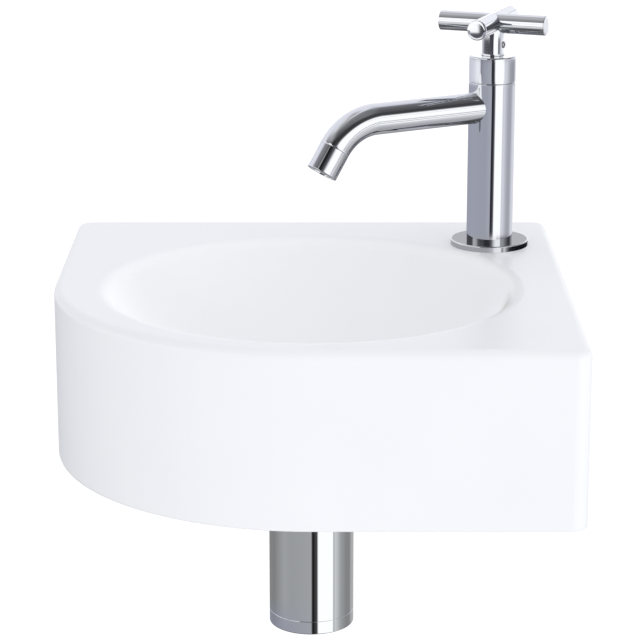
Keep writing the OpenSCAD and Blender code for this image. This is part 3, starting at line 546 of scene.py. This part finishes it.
# %% [markdown]
# The seals are black EPDM rubber, moulded and dusty, so they are dull and slightly grained. The valve
# discs are lapped alumina, an ivory white that is nearly smooth. The ring in the tap hole and the jet
# former are white acetal, a waxy plastic with the texture of its mould.


# %% Rubber, alumina and acetal
def moulded(name, shades, rough, grain, bump_height):
    """A moulded or pressed material whose grain is seen in its colour and felt in its bump."""
    material, tree, shader, place = new_material(name)
    noise = add_node(
        tree, "ShaderNodeTexNoise", {"Vector": place, "Scale": 1 / grain, "Detail": 3.0}
    ).outputs["Fac"]
    colour = add_node(
        tree, "ShaderNodeMix", {0: noise, 6: linear(shades[0]), 7: linear(shades[1])}, data_type="RGBA"
    ).outputs[2]
    bump = add_node(
        tree, "ShaderNodeBump", {"Height": noise, "Strength": 0.5, "Distance": bump_height}
    ).outputs[0]
    tree.links.new(colour, shader.inputs["Base Color"])
    tree.links.new(bump, shader.inputs["Normal"])
    shader.inputs["Roughness"].default_value = rough
    return material


finishes["rubber"] = moulded("black EPDM rubber", ("#18191B", "#242527"), 0.7, 0.6 * MM, 0.05 * MM)
finishes["valve_ceramic"] = moulded("lapped alumina", ("#ECE8DC", "#F1EEE4"), 0.22, 1.5 * MM, 0.005 * MM)
finishes["white_plastic"] = moulded("white acetal", ("#E3E2DD", "#EAE9E5"), 0.42, 0.8 * MM, 0.02 * MM)
print("finishes:", ", ".join(finishes))

# %% [markdown]
# The tap is turned on a lathe, so most of its pieces are drawn as half a section and spun a full turn. The
# solids already have these shapes. The new pieces add what a mirror finish shows most: the tiny broken
# edges that draw a bright or dark line round each joint, and surfaces whose normals are exactly round.

# %% Turning a section
LATHE_STEPS = 128
ROUND_STEPS = 3
EXACT = 0.02 * MM
MERGED = 0.0005 * MM


def add_object(name, form):
    """Makes the object of a finished bmesh, with its faces turned outwards."""
    bmesh.ops.remove_doubles(form, verts=form.verts, dist=MERGED)
    bmesh.ops.recalc_face_normals(form, faces=form.faces)
    mesh = bpy.data.meshes.new(name)
    form.to_mesh(mesh)
    form.free()
    piece = bpy.data.objects.new(name, mesh)
    bpy.context.scene.collection.objects.link(piece)
    return piece


def at_corner(vert, radius, height):
    """Whether a point came from the corner of the section at this radius and height."""
    off_axis = math.hypot(vert.co.x, vert.co.y) - radius * MM
    return abs(off_axis) < EXACT and abs(vert.co.z - height * MM) < EXACT


def turned(section):
    """Spins a closed half section, (radius, height, broken edge) in mm, round the Z axis."""
    form = bmesh.new()
    corners = [form.verts.new((radius * MM, 0, height * MM)) for radius, height, edge in section]
    edges = [form.edges.new((a, b)) for a, b in zip(corners, corners[1:] + corners[:1])]
    bmesh.ops.spin(
        form, geom=corners + edges, cent=(0, 0, 0), axis=(0, 0, 1), angle=math.tau, steps=LATHE_STEPS,
        use_merge=True,
    )
    bmesh.ops.remove_doubles(form, verts=form.verts, dist=MERGED)
    bmesh.ops.dissolve_degenerate(form, edges=form.edges, dist=MERGED)
    for radius, height, width in section:
        if width:
            rim = [edge for edge in form.edges if all(at_corner(v, radius, height) for v in edge.verts)]
            bmesh.ops.bevel(
                form, geom=rim, offset=width * MM, offset_type="OFFSET", affect="EDGES",
                segments=ROUND_STEPS, profile=0.5, material=-1,
            )
    return form


print("steps of a full turn:", LATHE_STEPS)

# %% [markdown]
# A hole through a turned piece, or two bars that meet, are cut with a Boolean modifier, which is applied at
# once. It leaves odd-shaped faces round the cut, and a mirror would show them as ripples. So each face that
# lies on a known cylinder gets normals that point straight away from the axis of that cylinder, and each
# large flat face keeps its own.

# %% Cutting and polishing
CREASE = math.radians(35)
FLAT_AREA = 3.0 * MM * MM
ALONG = 0.9995


def combine(piece, other, operation):
    """Cuts the other object from the piece, or joins it to the piece, and removes it."""
    modifier = piece.modifiers.new("cut", "BOOLEAN")
    modifier.operation = operation
    modifier.solver = "EXACT"
    modifier.object = other
    bpy.context.view_layer.update()
    done = piece.evaluated_get(bpy.context.evaluated_depsgraph_get())
    mesh = bpy.data.meshes.new_from_object(done)
    piece.modifiers.clear()
    old = piece.data
    piece.data = mesh
    mesh.name = piece.name
    bpy.data.meshes.remove(old)
    bpy.data.objects.remove(other)


def polish(piece, rounds):
    """Smooths a piece. rounds lists (point on axis, direction, radius in mm) of its true cylinders."""
    mesh = piece.data
    mesh.shade_smooth()
    mesh.set_sharp_from_angle(angle=CREASE)
    normals = [Vector(corner.vector) for corner in mesh.corner_normals]
    for face in mesh.polygons:
        if face.area > FLAT_AREA:
            for loop in face.loop_indices:
                normals[loop] = face.normal.copy()
        for point, axis, radius in rounds:
            away = face.center - point
            away -= away.dot(axis) * axis
            if abs(away.length - radius * MM) < EXACT and abs(face.normal.dot(away.normalized())) > ALONG:
                side = 1 if face.normal.dot(away) > 0 else -1
                for loop in face.loop_indices:
                    out = mesh.vertices[mesh.loops[loop].vertex_index].co - point
                    out -= out.dot(axis) * axis
                    normals[loop] = side * out.normalized()
                break
    mesh.normals_split_custom_set(normals)


print("edges are sharp above", round(math.degrees(CREASE)), "degrees")

# %% [markdown]
# A finished piece stands for its solid: the solid is hidden, the piece moves with the solid's body, and it
# gets the same finish. How far its box is from the solid's is printed, as a check.


# %% Standing for a solid
def fit(piece, node, body, slot):
    """Lets a new piece stand for a node of the model."""
    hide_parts(node)
    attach(piece, body)
    piece.data.materials.append(finishes[slot])
    low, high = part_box(node)
    now_low = [min(v.co[k] for v in piece.data.vertices) for k in range(3)]
    now_high = [max(v.co[k] for v in piece.data.vertices) for k in range(3)]
    off = max(abs(a - b) for a, b in zip(list(low) + list(high), now_low + now_high)) / MM
    print(f"{piece.name}: {len(piece.data.polygons)} faces, {off:.2f} mm from the box of {node}")


# %% [markdown]
# The tap stands on a thin round plate. Its upper edge is polished round, and catches a bright line. The
# groove underneath holds the seal that keeps water out of the tap hole.

# %% Base plate
UP = Vector((0, 0, 1))
plate_low, plate_high = (Vector(corner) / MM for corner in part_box("tap_base_plate"))
TAP_AXIS = Vector(((plate_low.x + plate_high.x) / 2, (plate_low.y + plate_high.y) / 2, 0)) * MM
plate_r = (plate_high.x - plate_low.x) / 2
plate_bottom, plate_top = plate_low.z, plate_high.z
PLATE_EDGE = 0.55
THREAD_R = 10.525
GROOVE_IN_R = 15.8
GROOVE_OUT_R = 21.8
GROOVE_DEPTH = 1.2
groove_top = plate_bottom + GROOVE_DEPTH

form = turned([
    (THREAD_R, plate_bottom, 0), (GROOVE_IN_R, plate_bottom, 0), (GROOVE_IN_R, groove_top, 0),
    (GROOVE_OUT_R, groove_top, 0), (GROOVE_OUT_R, plate_bottom, 0), (plate_r, plate_bottom, 0),
    (plate_r, plate_top, PLATE_EDGE), (THREAD_R, plate_top, 0),
])
bmesh.ops.translate(form, verts=form.verts, vec=TAP_AXIS)
plate = add_object("base_plate", form)
polish(plate, [(TAP_AXIS, UP, plate_r)])
fit(plate, "tap_base_plate", "basin_assembly", "chrome")

# %% [markdown]
# The body is one long tube. The valve screws into the wide pocket at its top, the tail into the thread at
# its foot, and the spout is soldered into a hole in its side. Its top edge is broken, as is the lower edge
# of the bonnet above, so that the joint between them shows as the fine dark line in the photograph.

# %% Tap body
body_low, body_high = (Vector(corner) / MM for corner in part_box("tap_body"))
body_r = (body_high.x - body_low.x) / 2
body_top = body_high.z
SEAM = 0.35
POCKET_R = 10.5
POCKET_DEPTH = 33
WATERWAY_R = 6.5
TAIL_R = 9.05
TAIL_DEPTH = 15
valve_seat = body_top - POCKET_DEPTH
tail_top = plate_top + TAIL_DEPTH

form = turned([
    (TAIL_R, plate_top, 0), (body_r, plate_top, 0), (body_r, body_top, SEAM), (POCKET_R, body_top, 0),
    (POCKET_R, valve_seat, 0), (WATERWAY_R, valve_seat, 0), (WATERWAY_R, tail_top, 0), (TAIL_R, tail_top, 0),
])
bmesh.ops.translate(form, verts=form.verts, vec=TAP_AXIS)
tap_body = add_object("tap_tube", form)

# %% [markdown]
# The hole for the spout is drilled from the outside to the axis. The drill is a cylinder along the spout's
# direction, a hair wider than the spout's tube.

# %% Hole for the spout
SPOUT_R = 9.5
SPOUT_GAP = 0.05
SPOUT_WAY = math.radians(210)
SPOUT_DROP = 15.5
spout_height = body_top - SPOUT_DROP
spout_place = (
    Matrix.Translation(TAP_AXIS + Vector((0, 0, spout_height * MM))) @ Matrix.Rotation(SPOUT_WAY, 4, "Z")
)
form = bmesh.new()
drill_r = (SPOUT_R + SPOUT_GAP) * MM
bmesh.ops.create_cone(
    form, cap_ends=True, segments=LATHE_STEPS, radius1=drill_r, radius2=drill_r, depth=2 * body_r * MM
)
bmesh.ops.transform(
    form, verts=form.verts,
    matrix=spout_place @ Matrix.Rotation(math.pi / 2, 4, "Y") @ Matrix.Translation((0, 0, body_r * MM)),
)
combine(tap_body, add_object("spout_drill", form), "DIFFERENCE")
polish(tap_body, [(TAP_AXIS, UP, body_r), (TAP_AXIS, UP, POCKET_R)])
fit(tap_body, "tap_body", "basin_assembly", "chrome")

# %% [markdown]
# The spout is a drawn tube, bent near its end. A ring of edges makes each of its two skins: one step for
# the straight run, and a spin for the bend. The ring at its root is drawn back on to the pocket of the
# body, so the tube ends flush with the inside of the wall.

# %% Skin of the spout
SPOUT_RUN = 82.8
BEND_R = 33.8
BEND = math.radians(57)
BEND_STEPS = 40
BEND_CENTRE = Vector((SPOUT_RUN, 0, -BEND_R)) * MM


def tube_skin(form, radius):
    """One skin of the spout, from the root along +X and down round the bend. Gives its two end rings."""
    ring = bmesh.ops.create_circle(form, cap_ends=False, segments=LATHE_STEPS, radius=radius * MM)["verts"]
    bmesh.ops.rotate(form, verts=ring, cent=(0, 0, 0), matrix=Matrix.Rotation(math.pi / 2, 3, "Y"))
    for vert in ring:
        vert.co.x = math.sqrt((POCKET_R * MM) ** 2 - vert.co.y ** 2)
    root = list({edge for vert in ring for edge in vert.link_edges})
    step = bmesh.ops.extrude_edge_only(form, edges=root)["geom"]
    run_end = [item for item in step if isinstance(item, bmesh.types.BMVert)]
    for vert in run_end:
        vert.co.x = SPOUT_RUN * MM
    edges = [item for item in step if isinstance(item, bmesh.types.BMEdge)]
    swept = bmesh.ops.spin(
        form, geom=run_end + edges, cent=BEND_CENTRE, axis=(0, 1, 0), angle=BEND, steps=BEND_STEPS,
        use_merge=False,
    )["geom_last"]
    return root, [item for item in swept if isinstance(item, bmesh.types.BMEdge)]


print("steps of the bend:", BEND_STEPS)

# %% [markdown]
# At the tip the tube steps down to a thinner spigot, which the sleeve screws on to. The shoulder between
# them has a broken edge. The two skins are joined at the root and at the mouth.

# %% Spout
SPOUT_WALL = 1.8
SPIGOT_R = 8.5
SPIGOT_L = 6
SHOULDER_EDGE = 0.25
SHOULDER_STEPS = 2
tip_way = Matrix.Rotation(BEND, 3, "Y") @ Vector((1, 0, 0))
tip_centre = BEND_CENTRE + Matrix.Rotation(BEND, 3, "Y") @ Vector((0, 0, BEND_R * MM))


def next_ring(form, ring, radius, ahead):
    """Extrudes an end ring by a length along the tip, to a new radius."""
    step = bmesh.ops.extrude_edge_only(form, edges=ring)["geom"]
    for vert in (item for item in step if isinstance(item, bmesh.types.BMVert)):
        off = vert.co - tip_centre
        off -= off.dot(tip_way) * tip_way
        vert.co = tip_centre + off.normalized() * radius * MM + tip_way * ahead * MM
    return [item for item in step if isinstance(item, bmesh.types.BMEdge)]


form = bmesh.new()
outer_root, outer_tip = tube_skin(form, SPOUT_R)
bore_root, bore_tip = tube_skin(form, SPOUT_R - SPOUT_WALL)
bmesh.ops.bridge_loops(form, edges=outer_root + bore_root)
shoulder = next_ring(form, outer_tip, SPIGOT_R, 0)
spigot = next_ring(form, shoulder, SPIGOT_R, SPIGOT_L)
bore_end = next_ring(form, bore_tip, SPOUT_R - SPOUT_WALL, SPIGOT_L)
bmesh.ops.bridge_loops(form, edges=spigot + bore_end)
bmesh.ops.bevel(
    form, geom=outer_tip, offset=SHOULDER_EDGE * MM, offset_type="OFFSET", affect="EDGES",
    segments=SHOULDER_STEPS, profile=0.5, material=-1,
)
bmesh.ops.transform(form, verts=form.verts, matrix=spout_place)
spout = add_object("spout_tube", form)
polish(spout, [(spout_place.translation, spout_place.to_3x3() @ Vector((1, 0, 0)), SPOUT_R)])
fit(spout, "spout", "basin_assembly", "chrome")

# %% [markdown]
# The sleeve on the tip holds the jet former. It has the diameter of the tube, so only a fine line parts
# them, and its mouth is turned in to a lip.

# %% Aerator sleeve
SLEEVE_L = 16.3
SLEEVE_BORE_R = SPIGOT_R + SPOUT_GAP
MOUTH_R = 7.5
MOUTH_EDGES = (0.5, 0.2)
LIP_L = 1.2
lip = SLEEVE_L - LIP_L
tip_place = (
    spout_place
    @ Matrix.Translation(BEND_CENTRE)
    @ Matrix.Rotation(BEND, 4, "Y")
    @ Matrix.Translation((0, 0, BEND_R * MM))
    @ Matrix.Rotation(math.pi / 2, 4, "Y")
)
form = turned([
    (SLEEVE_BORE_R, 0, 0), (SPOUT_R, 0, SHOULDER_EDGE), (SPOUT_R, SLEEVE_L, MOUTH_EDGES[0]),
    (MOUTH_R, SLEEVE_L, MOUTH_EDGES[1]), (MOUTH_R, lip, 0), (SLEEVE_BORE_R, lip, 0),
])
bmesh.ops.transform(form, verts=form.verts, matrix=tip_place)
sleeve = add_object("aerator_ring", form)
polish(sleeve, [(tip_place.translation, tip_place.to_3x3() @ UP, SPOUT_R)])
fit(sleeve, "aerator_sleeve", "basin_assembly", "chrome")

# %% [markdown]
# The bonnet is a cap that screws down over the valve. It is as wide as the body, with a rounded upper edge
# and a hole that leaves the neck of the handle free to turn. The hole is drawn a little closer round the
# neck than the solid's, so that no bare brass shines through the gap.

# %% Bonnet
cap_low, cap_high = (Vector(corner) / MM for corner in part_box("bonnet"))
CAP_EDGE = 0.8
HOLE_EDGE = 0.3
NECK_HOLE_R = 7.0
VALVE_R = 9.55
VALVE_RISE = 12.05
FLANGE_R = 13.05
FLANGE_RISE = 2.05
valve_top = cap_low.z + VALVE_RISE
flange_top = cap_low.z + FLANGE_RISE
form = turned([
    (FLANGE_R, cap_low.z, 0), (body_r, cap_low.z, SEAM), (body_r, cap_high.z, CAP_EDGE),
    (NECK_HOLE_R, cap_high.z, HOLE_EDGE), (NECK_HOLE_R, valve_top, 0), (VALVE_R, valve_top, 0),
    (VALVE_R, flange_top, 0), (FLANGE_R, flange_top, 0),
])
bmesh.ops.translate(form, verts=form.verts, vec=TAP_AXIS)
bonnet = add_object("valve_bonnet", form)
polish(bonnet, [(TAP_AXIS, UP, body_r)])
fit(bonnet, "bonnet", "basin_assembly", "chrome")

# %% [markdown]
# The handle is two round bars that cross over a neck. Their ends are softened, and the end faces are very
# slightly domed by polishing, which is why the nearest one shows a patch of light and a patch of dark. The
# dome has two rings between its middle and its edge, each a share of the way out and of the way down.

# %% Bars and rods
ARM_R = 6.0
ARM_REACH = 33.2
ARM_RISE = 19.6
ARM_CENTRE = TAP_AXIS + Vector((0, 0, cap_high.z + ARM_RISE)) * MM
END_SOFT = 0.4
END_CROWN = 0.012
CROWN_RINGS = ((0.35, 0.12), (0.7, 0.5))


def bar(turn):
    """One bar of the cross, turned about the tap's axis by an angle."""
    half = [(0, ARM_REACH, 0)]
    half += [(ARM_R * out, ARM_REACH - END_CROWN * down, 0) for out, down in CROWN_RINGS]
    half += [(ARM_R, ARM_REACH - END_CROWN, END_SOFT)]
    form = turned(half + [(radius, -height, edge) for radius, height, edge in reversed(half)])
    bmesh.ops.transform(
        form, verts=form.verts,
        matrix=Matrix.Translation(ARM_CENTRE)
        @ Matrix.Rotation(turn, 4, "Z")
        @ Matrix.Rotation(math.pi / 2, 4, "Y"),
    )
    return form


def rod(radius, low, high):
    """A plain upright rod on the tap's axis, for joining or for drilling."""
    form = turned([(0, low, 0), (radius, low, 0), (radius, high, 0), (0, high, 0)])
    bmesh.ops.translate(form, verts=form.verts, vec=TAP_AXIS)
    return form


print("the bars cross at", [round(c / MM, 1) for c in ARM_CENTRE])

# %% [markdown]
# The bars and the neck are joined, then the spindle's bore and the hole for the grub screw are cut. The
# screw lies in line with the first bar. The neck reaches a little lower than the solid's, for the same
# reason as the closer hole of the bonnet.

# %% Handle
ARM_TURN = math.radians(-21)
NECK_R = 6.7
NECK_GAP = 0.15
SPINDLE_R = 4.05
SPINDLE_DROP = 5.95
GRUB_R = 2.05
GRUB_RISE = 6.6
DRILL_PAST = 1
neck_foot = cap_high.z + NECK_GAP
spindle_top = ARM_CENTRE.z / MM - SPINDLE_DROP
grub_height = cap_high.z + GRUB_RISE
first_way = Vector((math.cos(ARM_TURN), math.sin(ARM_TURN), 0))
second_way = Vector((-first_way.y, first_way.x, 0))

handle = add_object("cross_handle", bar(ARM_TURN))
combine(handle, add_object("second_bar", bar(ARM_TURN + math.pi / 2)), "UNION")
combine(handle, add_object("neck", rod(NECK_R, neck_foot, ARM_CENTRE.z / MM)), "UNION")
spindle_drill = rod(SPINDLE_R, neck_foot - DRILL_PAST, spindle_top)
combine(handle, add_object("spindle_bore", spindle_drill), "DIFFERENCE")
form = bmesh.new()
bmesh.ops.create_cone(
    form, cap_ends=True, segments=LATHE_STEPS, radius1=GRUB_R * MM, radius2=GRUB_R * MM, depth=2 * NECK_R * MM
)
bmesh.ops.transform(
    form, verts=form.verts,
    matrix=Matrix.Translation(TAP_AXIS + Vector((0, 0, grub_height * MM)))
    @ Matrix.Rotation(ARM_TURN, 4, "Z")
    @ Matrix.Rotation(math.pi / 2, 4, "Y")
    @ Matrix.Translation((0, 0, NECK_R * MM)),
)
combine(handle, add_object("grub_drill", form), "DIFFERENCE")
polish(
    handle,
    [(TAP_AXIS, UP, NECK_R), (ARM_CENTRE, first_way, ARM_R), (ARM_CENTRE, second_way, ARM_R)],
)
fit(handle, "handle_cross", "handle", "chrome")

# %% [markdown]
# The bottom of the trap unscrews for cleaning. The joint is a fine line round the bottle, a little above its
# foot, and behind it the cap has a thread and a groove for its seal.

# %% Trap cap
trap_low, trap_high = (Vector(corner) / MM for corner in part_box("trap_bottom_cap"))
BOTTLE_AXIS = Vector(((trap_low.x + trap_high.x) / 2, (trap_low.y + trap_high.y) / 2, 0)) * MM
trap_r = (trap_high.x - trap_low.x) / 2
FOOT_EDGE = 0.6
JOINT_EDGE = 0.35
CAP_THREAD_R = 23.45
CAP_THREAD_H = 9.0
CAP_BORE_R = 21.25
CAP_FLOOR = 2.0
RING_GROOVE_R = 22.45
RING_GROOVE = (4.5, 6.5)
cap_floor = trap_low.z + CAP_FLOOR
trap_joint = trap_high.z - CAP_THREAD_H
ring_low = trap_joint + RING_GROOVE[0]
ring_high = trap_joint + RING_GROOVE[1]
form = turned([
    (0, trap_low.z, 0), (trap_r, trap_low.z, FOOT_EDGE), (trap_r, trap_joint, JOINT_EDGE),
    (CAP_THREAD_R, trap_joint, 0), (CAP_THREAD_R, ring_low, 0), (RING_GROOVE_R, ring_low, 0),
    (RING_GROOVE_R, ring_high, 0), (CAP_THREAD_R, ring_high, 0), (CAP_THREAD_R, trap_high.z, 0),
    (CAP_BORE_R, trap_high.z, 0), (CAP_BORE_R, cap_floor, 0), (0, cap_floor, 0),
])
bmesh.ops.translate(form, verts=form.verts, vec=BOTTLE_AXIS)
trap_cap = add_object("cleaning_cap", form)
polish(trap_cap, [(BOTTLE_AXIS, UP, trap_r)])
fit(trap_cap, "trap_bottom_cap", "basin_assembly", "chrome")

# %% [markdown]
# Every solid of the model gets the finish that its record names. The china is kept out of reflections,
# since the chrome in the photograph shows only the studio.

# %% Finish of each node
frame["nodes"]["basin"].visible_glossy = False
slot_of = {row["node"]: row["material_slot"] for row in frame["record"]["subparts"]}
for name, node in frame["nodes"].items():
    for holder in node.material_slots:
        holder.material = finishes[slot_of[name]]
print("nodes with a finish:", len(slot_of))
